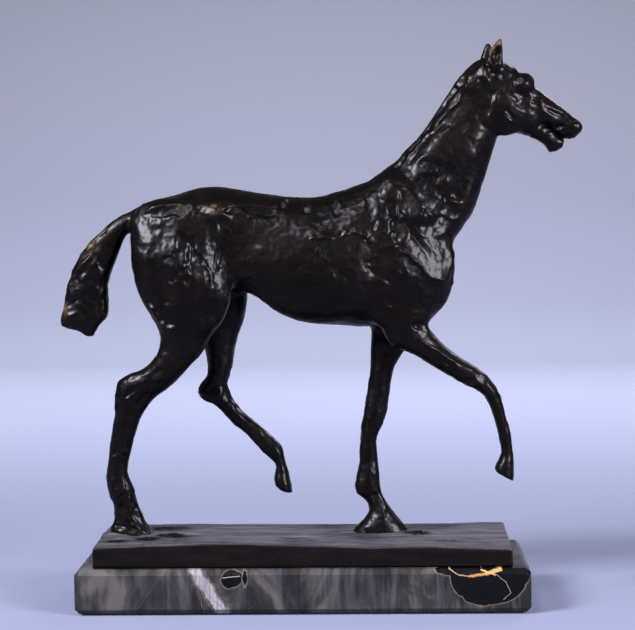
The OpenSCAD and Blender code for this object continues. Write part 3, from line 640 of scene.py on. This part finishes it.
def build_horse():
    points, quads = horse_clay().mesh()
    normals = vertex_normals(points, quads)
    lift = worked(points, normals)
    points = points + normals * lift[:, None]
    values = skin_values(lift)
    values["rub"] = rubbed(points)
    mesh = bpy.data.meshes.new("skin")
    mesh.from_pydata(points.tolist(), [], quads.tolist())
    store_values(mesh, values)
    bm = bmesh.new()
    bm.from_mesh(mesh)
    bpy.data.meshes.remove(mesh)
    cut_plane(bm, *NECK_PLANE, lambda c: c.x > 40 and c.z > 190)
    cut_plane(bm, *TAIL_PLANE, lambda c: c.x < -90 and c.z > 190)
    cut_plane(bm, (0, 0, HIND_CUT), (0, 0, 1), lambda c: c.x < HIND_FRONT and piece_of(c) != "tail")
    cut_plane(bm, (0, 0, FORE_CUT), (0, 0, 1), lambda c: c.x > FORE_BACK and c.z < 180)
    bm.normal_update()
    bm.verts.ensure_lookup_table()
    layers = {key: bm.verts.layers.float.get(key) for key in values}
    parts = {}
    for f in bm.faces:
        parts.setdefault(piece_of(f.calc_center_median()), []).append([v.index for v in f.verts])
    coords = np.array([v.co[:] for v in bm.verts])
    directions = np.array([v.normal[:] for v in bm.verts])
    data = {key: np.array([v[layer] for v in bm.verts]) for key, layer in layers.items()}
    bm.free()
    coords = coords * MM + np.array([0, 0, GROUND * MM])
    pieces = {}
    for node, faces in parts.items():
        used, flat = np.unique(np.concatenate([np.array(f) for f in faces]), return_inverse=True)
        ends = np.cumsum([len(f) for f in faces])
        local = [part.tolist() for part in np.split(flat, ends[:-1])]
        own = {key: v[used] for key, v in data.items()}
        pieces[node] = closed_piece("bronze_" + node, coords[used].tolist(), directions[used], local, own)
    return pieces


# Places rubbed to bare golden metal: x, y, z, radius, how bare
RUBS = [
    (139, -9, 342, 3.4, 0.8), (133.5, -10, 337, 2.6, 0.7), (131, 8, 340, 3, 0.5),
    (126.5, -12, 321, 1.5, 0.55), (-148, -4, 204, 5, 0.6), (-139, -2, 214, 4, 0.4),
    (-59, -28, 228, 3.4, 0.9), (-166, -3, 160, 4, 0.35), (194, 0, 286, 3, 0.5), (136.5, -6, 333, 3, 0.1),
    (112, -8, 318, 3, 0.12),
]


def rubbed(points):
    worn = np.zeros(len(points))
    for x, y, z, radius, bare in RUBS:
        gap = np.linalg.norm(points - np.array([x, y, z]), axis=1) / radius
        worn = np.maximum(worn, bare * np.exp(-(gap**2)))
    return worn


# ---------------------------------------------------------------- modelled ground


# Mounds of clay round the standing hooves: place, half sizes, softness
MOUNDS = [
    ((-118, -5, -2.5), (26, 17, 4.5), 4), ((-130, -4, -1), (12, 14, 5), 4), ((56, 9, -3), (28, 17, 4), 4),
    ((-96, -10, -2), (14, 9, 3.4), 3), ((80, 6, -2.6), (16, 10, 3.4), 3),
]
# Rough patches on the ground: x, y, radius, height
DIRT = [
    (-90, -16, 7, 1.7), (-108, -24, 5, 1), (79, -2, 5, 1.4), (-128, -30, 6, 0.7), (-100, 26, 10, 0.9),
    (100, -30, 8, 0.4),
]
# The plate's thickness along its length: x, at its front edge, at its back edge
PLATE = [
    (-143, 14.4, 14.6), (-100, 15.8, 14.7), (-57, 16.8, 14.6), (-10, 15.6, 14.5), (25, 14.4, 14.4),
    (47, 13.6, 14.3), (70, 13.9, 14.4), (88, 14, 14.5), (115, 12.8, 14.6), (143, 11.8, 14.8),
]
# Where the hooves stand above the plate's underside, and how round its edges are
STANDING = 14.8
ROUND_OFF = 0.9


def ground_clay():
    """A thin uneven plate with mounds round the standing hooves."""
    low, high = PLINTH
    base = low[2]
    clay = Clay((low[0] - 4, low[1] - 4, base - 6), (high[0] + 4, high[1] + 4, high[2] + 6))
    first, last, cut = clay.window(low, high)
    x, y, z = clay.axes(first, last)
    mid_y = (low[1] + high[1]) / 2
    half_x, half_y = (high[0] - low[0]) / 2, (high[1] - low[1]) / 2
    share = np.clip((y - low[1]) / (high[1] - low[1]), 0, 1)
    stations, front, back = np.array(PLATE, dtype=float).T
    front, back = np.interp(x, stations, front), np.interp(x, stations, back)
    top = GROUND - STANDING + front * (1 - share) + back * share
    slope = np.clip((z - base) / 15, 0, 1) * 0.3
    dx = np.abs(x) - (half_x - slope)
    dy = np.abs(y - mid_y) - (half_y - slope)
    dz = np.maximum(z - top, base - z)
    q = [np.maximum(d + ROUND_OFF, 0) for d in (dx + 0 * y + 0 * z, dy + 0 * x + 0 * z, dz)]
    outside = np.sqrt(q[0] ** 2 + q[1] ** 2 + q[2] ** 2)
    inside = np.minimum(np.maximum(np.maximum(dx, dy), dz) + ROUND_OFF, 0)
    clay.field[cut] = (outside + inside - ROUND_OFF).astype(np.float32)
    for place, radii, soft in MOUNDS:
        clay.join(*clay.ball((place[0], place[1], GROUND + place[2]), radii), soft)
    sides = np.maximum(dx, dy) + 0 * z
    clay.field[cut] = np.maximum(clay.field[cut], sides)
    return clay


def ground_piece():
    """The bronze ground, worked with long strokes of the tool and stirred up round the hooves."""
    low, base = PLINTH[0], PLINTH[0][2]
    points, quads = ground_clay().mesh()
    normals = vertex_normals(points, quads)
    upward = np.clip(normals[:, 2], 0, 1)
    stretched = points * np.array([0.22, 1, 1])
    lift = 0.35 * noise(points, 26, 2.2) + 0.28 * upward * pads(stretched, 5, 21, 0.25)
    lift += upward * (0.16 * noise(points * np.array([0.12, 1, 1]), 2.6, 4.4))
    drawn = noise(points * np.array([0.2, 1, 1]), 5, 1.7)
    lift += 0.08 * noise(points, 2.2, 8.8) + 0.3 * (1 - upward) * drawn
    crumbs = 0.9 * pads(points, 4, 31, 0.1) + 0.5 * noise(points, 3.2, 3.1) + 0.3
    stirred = np.zeros(len(points))
    for x, y, radius, strength in DIRT:
        gap = np.hypot((points[:, 0] - x) / 1.8, points[:, 1] - y) / radius
        stirred = np.maximum(stirred, min(strength, 1) * np.exp(-(gap**2)))
        lift += upward * strength * np.exp(-(gap**2)) * crumbs
    lift = np.where(points[:, 2] < base + 1.5, 0, lift)
    points = points + normals * lift[:, None]
    points[:, 2] = np.maximum(points[:, 2], base)
    values = skin_values(lift)
    values["rub"] = np.exp(-(((points[:, 1] - low[1]) / 5) ** 2)) * upward
    # Where dust lies and a painted sheen stands in for the backdrop's reflection: level tops, less where the
    # hooves stirred the ground
    values["dust_and_sheen"] = upward * (1 - 0.9 * stirred)
    mesh = bpy.data.meshes.new("bronze_ground")
    mesh.from_pydata((points * MM).tolist(), [], quads.tolist())
    store_values(mesh, values)
    smooth(mesh)
    return new_object("bronze_ground", mesh)


# ---------------------------------------------------------------- slab and felt


def beveled_box(name, low, high, chamfer, soft):
    bm = bmesh.new()
    bmesh.ops.create_cube(bm, size=1)
    size = [h - l for l, h in zip(low, high)]
    middle = [(h + l) / 2 for l, h in zip(low, high)]
    bmesh.ops.scale(bm, vec=size, verts=bm.verts)
    bmesh.ops.translate(bm, vec=middle, verts=bm.verts)
    for offset, segments in ((chamfer, 1), (soft, 2)):
        edges = list(bm.edges)
        how = {"offset_type": "OFFSET", "profile": 0.5, "affect": "EDGES"}
        bmesh.ops.bevel(bm, geom=edges, offset=offset, segments=segments, **how)
    mesh = bpy.data.meshes.new(name)
    bm.to_mesh(mesh)
    bm.free()
    smooth(mesh)
    piece = new_object(name, mesh)
    harden = piece.modifiers.new("flats", "WEIGHTED_NORMAL")
    harden.keep_sharp = True
    return piece


# ---------------------------------------------------------------- materials


class Shader:
    """A short way to write a node tree."""

    def __init__(self, name):
        self.material = bpy.data.materials.new(name)
        self.material.use_nodes = True
        self.tree = self.material.node_tree
        self.bsdf = self.tree.nodes["Principled BSDF"]

    def put(self, kind, inputs=None, **settings):
        made = self.tree.nodes.new("ShaderNode" + kind)
        for key, value in settings.items():
            setattr(made, key, value)
        for key, value in (inputs or {}).items():
            self.set(made.inputs[key], value)
        return made

    def set(self, socket, value):
        if isinstance(value, bpy.types.NodeSocket):
            self.tree.links.new(value, socket)
        elif isinstance(value, bpy.types.Node):
            self.tree.links.new(value.outputs[0], socket)
        else:
            socket.default_value = value

    def place(self, scale=(1, 1, 1), turn=(0, 0, 0)):
        here = self.put("TexCoord").outputs["Object"]
        return self.put("Mapping", {"Vector": here, "Scale": scale, "Rotation": turn})

    def noise(self, scale, detail=3.0, vector=None, distortion=0.0, rough=0.55):
        vector = vector or self.place()
        inputs = {"Vector": vector, "Scale": scale, "Detail": detail, "Distortion": distortion}
        return self.put("TexNoise", {**inputs, "Roughness": rough}).outputs["Fac"]

    def value(self, name):
        return self.put("Attribute", attribute_name=name).outputs["Fac"]

    def ramp(self, factor, *stops):
        made = self.put("ValToRGB", {"Fac": factor})
        ramp = made.color_ramp
        while len(ramp.elements) < len(stops):
            ramp.elements.new(0.5)
        for element, (at, colour) in zip(ramp.elements, stops):
            element.position = at
            element.color = (*colour, 1) if len(colour) == 3 else colour
        return made.outputs["Color"]

    def range(self, value, low, high, to_low=0.0, to_high=1.0):
        inputs = {"Value": value, "From Min": low, "From Max": high, "To Min": to_low, "To Max": to_high}
        return self.put("MapRange", inputs).outputs["Result"]

    def mix(self, factor, a, b, blend="MIX"):
        made = self.put("Mix", data_type="RGBA", blend_type=blend)
        for index, value in ((0, factor), (6, a), (7, b)):
            if isinstance(value, tuple):
                value = (*value, 1)
            self.set(made.inputs[index], value)
        return made.outputs[2]

    def math(self, operation, a, b=0.0):
        return self.put("Math", {0: a, 1: b}, operation=operation).outputs[0]

    def plus(self, a, b):
        return self.math("ADD", a, b)

    def minus(self, a, b):
        return self.math("SUBTRACT", a, b)

    def times(self, a, b):
        return self.math("MULTIPLY", a, b)

    def look(self, values):
        """Sets the shader's own sockets, to a number or from a node."""
        for key, value in values.items():
            self.set(self.bsdf.inputs[key], value)
        return self.material

    def bump(self, height, strength, distance, below=None):
        inputs = {"Height": height, "Strength": strength, "Distance": distance}
        if below is not None:
            inputs["Normal"] = below
        return self.put("Bump", inputs).outputs[0]


# The colour of dust on level bronze, and of a painted sheen: a pale lilac standing in for the backdrop's
# reflection on level tops
DUST_AND_SHEEN_FILM = (0.09, 0.086, 0.099)


def bronze_material(
    name, dark, brown, dust, gold, rough_low, rough_high, dryness, shine, coat, wax, wax_rough
):
    """Waxed brown patina: darker in the hollows, brown on worn crests, bare gold where it is rubbed,
    and greyer on level tops, partly dust and partly a painted sheen that stands in for the backdrop's
    reflection."""
    s = Shader(name)
    cloud = s.noise(38, 5)
    speck = s.noise(420, 2)
    colour = s.mix(s.range(cloud, 0.35, 0.68), dark, brown)
    colour = s.mix(s.range(s.value("crest"), 0.1, 0.9, 0, 0.75), colour, brown)
    colour = s.mix(s.range(s.value("hollow"), 0.2, 1, 0, 0.7), colour, dark)
    colour = s.mix(s.times(s.range(speck, 0.55, 0.8), dryness), colour, dust)
    # Painted sheen and dust: a pale lilac film on level tops, broken into streaks and thinned in the hollows
    streaks = s.noise(1, 4, s.place((20, 240, 20)), 1.2)
    dust_and_sheen = s.times(s.range(s.value("dust_and_sheen"), 0.5, 0.98), s.range(streaks, 0.34, 0.66, 0.2, 1))
    dust_and_sheen = s.times(dust_and_sheen, s.range(s.value("hollow"), 0, 0.6, 1, 0.15))
    colour = s.mix(dust_and_sheen, colour, DUST_AND_SHEEN_FILM)
    rub = s.times(s.value("rub"), s.range(s.noise(260, 4), 0.35, 0.6))
    rub = s.times(rub, s.range(s.value("crest"), 0.0, 0.35, 0.35, 1))
    colour = s.mix(rub, colour, gold)
    rough = s.range(s.noise(90, 4), 0.3, 0.7, rough_low, rough_high)
    rough = s.plus(rough, s.times(s.value("hollow"), 0.12))
    metal = s.plus(s.times(rub, 0.8), 0.1)
    fine = s.bump(s.noise(900, 4, distortion=0.6), 0.5, 0.0004)
    grain = s.bump(s.noise(300, 5, distortion=0.6), 0.6, 0.0008, fine)
    layer = {"Coat Weight": coat, "Coat IOR": wax, "Coat Roughness": wax_rough}
    body = {"Base Color": colour, "Roughness": rough, "Metallic": metal, "Specular IOR Level": shine}
    return s.look({**body, **layer, "Normal": grain})


def steel_material():
    s = Shader("steel")
    colour = s.mix(s.noise(300, 4), (0.35, 0.36, 0.38), (0.55, 0.56, 0.58))
    rough = s.range(s.noise(800, 3), 0.3, 0.7, 0.25, 0.45)
    grain = s.bump(s.noise(900, 3), 0.2, 0.0002)
    return s.look({"Base Color": colour, "Metallic": 1.0, "Roughness": rough, "Normal": grain})


def felt_material():
    s = Shader("felt")
    fibre = s.noise(1500, 5, distortion=2.0)
    colour = s.mix(fibre, (0.015, 0.045, 0.025), (0.035, 0.09, 0.05))
    rough = s.range(fibre, 0.3, 0.7, 0.85, 1.0)
    fuzz = s.bump(fibre, 0.7, 0.0004)
    return s.look({"Base Color": colour, "Roughness": rough, "Sheen Weight": 0.4, "Normal": fuzz})


# Veins of the slab on its right face: the x where each crosses the face's middle height, its lean, its
# half width, how strongly it shows, its colour.
FACE_MIDDLE = 0.0162
VEINS = [
    (-0.0622, -0.62, 0.0052, 0.95, (0.25, 0.238, 0.25)), (-0.068, -0.6, 0.0004, 0.8, (0.15, 0.11, 0.07)),
    (-0.0566, -0.6, 0.0004, 0.8, (0.12, 0.095, 0.07)), (-0.0705, -0.25, 0.0003, 0.8, (0.11, 0.07, 0.045)),
    (-0.064, -0.95, 0.0003, 0.8, (0.035, 0.03, 0.035)), (-0.104, 0.8, 0.0003, 0.5, (0.07, 0.06, 0.05)),
    (-0.132, -1.4, 0.0003, 0.4, (0.065, 0.06, 0.055)), (-0.016, 1.9, 0.0003, 0.45, (0.075, 0.065, 0.055)),
    (0.052, -1.5, 0.0003, 0.35, (0.065, 0.06, 0.055)), (0.083, -0.5, 0.0003, 0.5, (0.075, 0.06, 0.045)),
]
# Black shells in the slab. Each is one or more ovals grown together: middle x and z, half sizes
SHELLS = [
    [(-0.0478, 0.0252, 0.0068, 0.006)],
    [(-0.0392, 0.0258, 0.0016, 0.0052)],
    [(0.1255, 0.0246, 0.0262, 0.018), (0.098, 0.0345, 0.0095, 0.0085), (0.147, 0.032, 0.009, 0.012)],
]
# Pale cracks inside the shells: x and z of both ends, half width, colour
CRACKS = [
    (0.113, 0.0262, 0.1245, 0.028, 0.0009, (0.33, 0.17, 0.06)),
    (0.1245, 0.028, 0.1345, 0.0308, 0.0012, (0.38, 0.2, 0.07)),
    (0.121, 0.0306, 0.1305, 0.0272, 0.0006, (0.36, 0.22, 0.09)),
    (0.0985, 0.0318, 0.106, 0.0272, 0.0003, (0.3, 0.24, 0.17)),
    (0.106, 0.0272, 0.113, 0.0262, 0.0004, (0.3, 0.2, 0.1)),
    (0.131, 0.0275, 0.1375, 0.0225, 0.0002, (0.2, 0.165, 0.12)),
    (0.1375, 0.0225, 0.141, 0.015, 0.0002, (0.2, 0.165, 0.12)),
    (0.141, 0.015, 0.136, 0.0105, 0.0002, (0.2, 0.165, 0.12)),
    (-0.0535, 0.0262, -0.042, 0.027, 0.0003, (0.25, 0.22, 0.17)),
]


def marble_material():
    """Grey marble with soft brushed bands, pale veins and black shells with cream rims."""
    s = Shader("marble")
    here = s.put("TexCoord").outputs["Object"]
    x, y, z = s.put("SeparateXYZ", {"Vector": here}).outputs
    depth = s.minus(y, SLAB[0].y)
    wobble = s.put("TexNoise", {"Vector": here, "Scale": 70, "Detail": 4, "Roughness": 0.6}).outputs["Fac"]
    shift = s.times(s.minus(wobble, 0.5), 0.016)
    fine = s.put("TexNoise", {"Vector": here, "Scale": 260, "Detail": 3}).outputs["Fac"]
    jitter = s.times(s.minus(fine, 0.5), 0.0035)
    clouds = s.noise(1, 6, s.place((24, 10, 16), (0, 0.5, 0)), 1.6)
    bands = s.noise(1, 5, s.place((120, 22, 14), (0, 0.35, 0)), 1.2)
    streaks = s.noise(1, 4, s.place((700, 60, 22), (0, 0.2, 0)), 0.8)
    colour = s.ramp(
        clouds, (0.38, (0.009, 0.0088, 0.0094)), (0.5, (0.0222, 0.0213, 0.0215)), (0.62, (0.066, 0.06, 0.053))
    )
    colour = s.mix(s.range(bands, 0.48, 0.72, 0, 0.6), colour, (0.0585, 0.056, 0.062))
    colour = s.mix(s.range(bands, 0.45, 0.25, 0, 0.6), colour, (0.0105, 0.0103, 0.0112))
    colour = s.mix(s.range(streaks, 0.5, 0.8, 0, 0.35), colour, (0.066, 0.06, 0.0575))
    for at, lean, half, strength, tint in VEINS:
        line = s.plus(s.times(s.minus(z, FACE_MIDDLE), -lean), x)
        line = s.plus(line, s.times(depth, 0.3))
        line = s.plus(line, s.times(shift, 0.6))
        gap = s.math("ABSOLUTE", s.minus(s.plus(line, jitter), at))
        mottled = s.times(s.range(streaks, 0.35, 0.6, 0.45, 1), strength)
        colour = s.mix(s.times(s.range(gap, half, half * 0.7), mottled), colour, tint)
    moved = [s.plus(v, s.times(s.plus(shift, jitter), 0.35)) for v in (x, z)]
    for ovals in SHELLS:
        gap = None
        for cx, cz, rx, rz in ovals:
            terms = [s.math("DIVIDE", s.minus(moved[0], cx), rx)]
            terms.append(s.math("DIVIDE", s.minus(moved[1], cz), rz))
            terms.append(s.math("DIVIDE", depth, max(rx, rz) * 1.3))
            squares = [s.times(t, t) for t in terms]
            one = s.math("SQRT", s.plus(s.plus(squares[0], squares[1]), squares[2]))
            one = s.times(s.minus(one, 1.0), min(rx, rz))
            gap = one if gap is None else s.math("MINIMUM", gap, one)
        colour = s.mix(s.times(s.range(gap, 0.0007, 0.0003), 0.7), colour, (0.13, 0.105, 0.08))
        colour = s.mix(s.range(gap, 0.0002, -0.0002), colour, (0.0008, 0.0007, 0.0014))
    near = s.range(depth, 0.012, 0.008)
    for ax, az, bx, bz, half, tint in CRACKS:
        length = math.hypot(bx - ax, bz - az)
        ux, uz = (bx - ax) / length, (bz - az) / length
        px = s.minus(x, ax)
        pz = s.minus(s.plus(z, s.times(jitter, 0.5)), az)
        along = s.plus(s.times(px, ux), s.times(pz, uz))
        off = s.math("ABSOLUTE", s.minus(s.times(pz, ux), s.times(px, uz)))
        beyond = s.math("MAXIMUM", s.minus(along, length), s.minus(0.0, along))
        gap = s.math("MAXIMUM", off, s.plus(beyond, half * 0.5))
        colour = s.mix(s.times(s.range(gap, half * 1.2, half * 0.6), near), colour, tint)
    rough = s.range(s.noise(120, 4), 0.3, 0.7, 0.3, 0.45)
    grain = s.bump(s.noise(260, 5), 0.12, 0.0004)
    return s.look({"Base Color": colour, "Roughness": rough, "Specular IOR Level": 0.17, "Normal": grain})


# ---------------------------------------------------------------- stage


def stage():
    """A seamless pale sheet: floor, curve and back wall in one. Its colour carries painted light fall-off,
    and painted shade on the floor in front of the object.
    """
    back, radius = 2.1, 0.7
    profile = [(-3.5, 0.0), (0.0, 0.0), (back, 0.0)]
    for i in range(1, 13):
        turn = math.pi / 2 * i / 12
        profile.append((back + radius * math.sin(turn), radius * (1 - math.cos(turn))))
    profile.append((back + radius, 3.5))
    verts = [(x, y, z) for y, z in profile for x in (-4.0, 4.0)]
    faces = [(2 * i, 2 * i + 1, 2 * i + 3, 2 * i + 2) for i in range(len(profile) - 1)]
    mesh = bpy.data.meshes.new("backdrop")
    mesh.from_pydata(verts, [], faces)
    smooth(mesh)
    s = Shader("backdrop")
    x, y, up = s.put("SeparateXYZ", {"Vector": s.put("TexCoord").outputs["Object"]}).outputs
    # The wall's pale lavender with a painted light gradient up its height: darker a little above its foot,
    # lighter toward the top
    wall = s.ramp(
        s.range(up, 0, 0.7), (0.0, (0.11, 0.118, 0.154)), (0.12, (0.099, 0.104, 0.136)),
        (0.4, (0.098, 0.101, 0.13)), (0.68, (0.111, 0.114, 0.14)), (0.92, (0.119, 0.124, 0.147)),
    )
    # Painted shade: the floor in front of the object, where the camera does not see it, is painted darker, so
    # that less light bounces up into the bronze
    near = s.range(y, -1.2, -0.15, 0.3, 1.0)
    # The floor's pale lavender with painted light fall-off: lightest round the object, darker toward the
    # curve
    sheet = s.ramp(
        s.range(y, 0, back), (0.0, (0.178, 0.193, 0.268)), (0.1, (0.186, 0.202, 0.276)),
        (0.23, (0.176, 0.192, 0.266)), (0.42, (0.16, 0.173, 0.238)), (0.7, (0.14, 0.149, 0.2)),
        (1.0, (0.11, 0.118, 0.154)),
    )
    sheet = s.mix(near, (0.0, 0.0, 0.0), sheet)
    tint = s.mix(s.range(y, back - 0.05, back + 0.05), sheet, wall)
    mesh.materials.append(s.look({"Base Color": tint, "Roughness": 0.9, "Specular IOR Level": 0.1}))
    floor = new_object("backdrop", mesh)


def area_light(name, place, target, size, watts, colour, spread=180):
    light = bpy.data.lights.new(name, "AREA")
    light.spread = math.radians(spread)
    light.shape = "RECTANGLE"
    light.size, light.size_y = size
    light.energy = watts
    light.color = colour
    lamp = new_object(name, light)
    lamp.location = place
    lamp.rotation_euler = (Vector(target) - Vector(place)).to_track_quat("-Z", "Y").to_euler()


def lights():
    middle = (0.0, 0.0, 0.2)
    cool = (0.9, 0.88, 1.0)
    area_light("left", (-1.3, -1.0, 1.3), middle, (0.6, 0.6), 100, cool)
    area_light("right", (1.3, -1.1, 0.8), middle, (0.62, 0.62), 62, cool)
    area_light("top", (-0.4, -1.0, 1.8), middle, (0.4, 0.4), 16, cool)
    area_light("back", (1.0, 1.5, 1.3), middle, (0.7, 0.7), 16, cool)
    area_light("wall", (0.0, 0.9, 3.0), (0.0, 2.1, 0.1), (3.0, 0.6), 100, (0.93, 0.93, 1.0), 70)
    world = bpy.data.worlds.new("studio")
    world.use_nodes = True
    world.node_tree.nodes["Background"].inputs["Color"].default_value = (0.8, 0.85, 1.0, 1)
    world.node_tree.nodes["Background"].inputs["Strength"].default_value = 0.15
    bpy.context.scene.world = world
    bpy.context.scene.view_settings.view_transform = "Standard"


def camera():
    """Square to the horse's right side, a little above its back, with a long lens."""
    data = bpy.data.cameras.new("camera")
    data.sensor_width = 36
    data.lens = 120.3
    data.clip_end = 20
    eye = new_object("camera", data)
    yaw, pitch, roll = (math.radians(a) for a in (1.49, -3.18, -0.58))
    eye.matrix_world = (
        Matrix.Translation((0.0493, -1.4839, 0.2827))
        @ Matrix.Rotation(yaw, 4, "Z")
        @ Matrix.Rotation(math.pi / 2 + pitch, 4, "X")
        @ Matrix.Rotation(roll, 4, "Z")
    )
    bpy.context.scene.camera = eye


# ---------------------------------------------------------------- assembly

camera()
stage()
lights()

BRONZE = bronze_material(
    "bronze",
    dark=(0.0004, 0.0003, 0.0003),
    brown=(0.003, 0.0016, 0.0012),
    dust=(0.004, 0.0029, 0.0024),
    gold=(0.3, 0.19, 0.09),
    rough_low=0.34,
    rough_high=0.5,
    dryness=0.2,
    shine=0.05,
    coat=0.155,
    wax=1.5,
    wax_rough=0.23,
)
GROUND_BRONZE = bronze_material(
    "ground_bronze",
    dark=(0.0009, 0.0006, 0.0006),
    brown=(0.003, 0.0016, 0.0015),
    dust=(0.005, 0.0034, 0.003),
    gold=(0.045, 0.014, 0.009),
    rough_low=0.5,
    rough_high=0.62,
    dryness=0.25,
    shine=0.05,
    coat=0.35,
    wax=1.3,
    wax_rough=0.4,
)
MARBLE = marble_material()
STEEL = steel_material()
FELT_CLOTH = felt_material()


def show(piece, node, material):
    """Puts a modelled piece in the place of its CAD node."""
    piece.data.materials.append(material)
    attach(piece, "root")
    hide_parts(node)


for node, piece in build_horse().items():
    show(piece, node, BRONZE)
show(ground_piece(), "plinth", GROUND_BRONZE)
slab = beveled_box("marble_slab", SLAB[0], SLAB[1], 3.2 * MM, 0.35 * MM)
show(slab, "marble_base", MARBLE)
felt = beveled_box("felt_sheet", FELT[0], FELT[1], 0.4 * MM, 0.1 * MM)
show(felt, "felt_underlay", FELT_CLOTH)

# The pieces kept from the CAD model only get their metal
CAD_METAL = {"core_plugs": BRONZE}
for node in ("joint_pins", "hoof_studs", "hoof_washers", "hoof_nuts", "base_bolts", "base_washers"):
    CAD_METAL[node] = STEEL
for node, material in CAD_METAL.items():
    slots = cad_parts[node].data.materials
    slots.clear()
    slots.append(material)

bpy.context.view_layer.update()
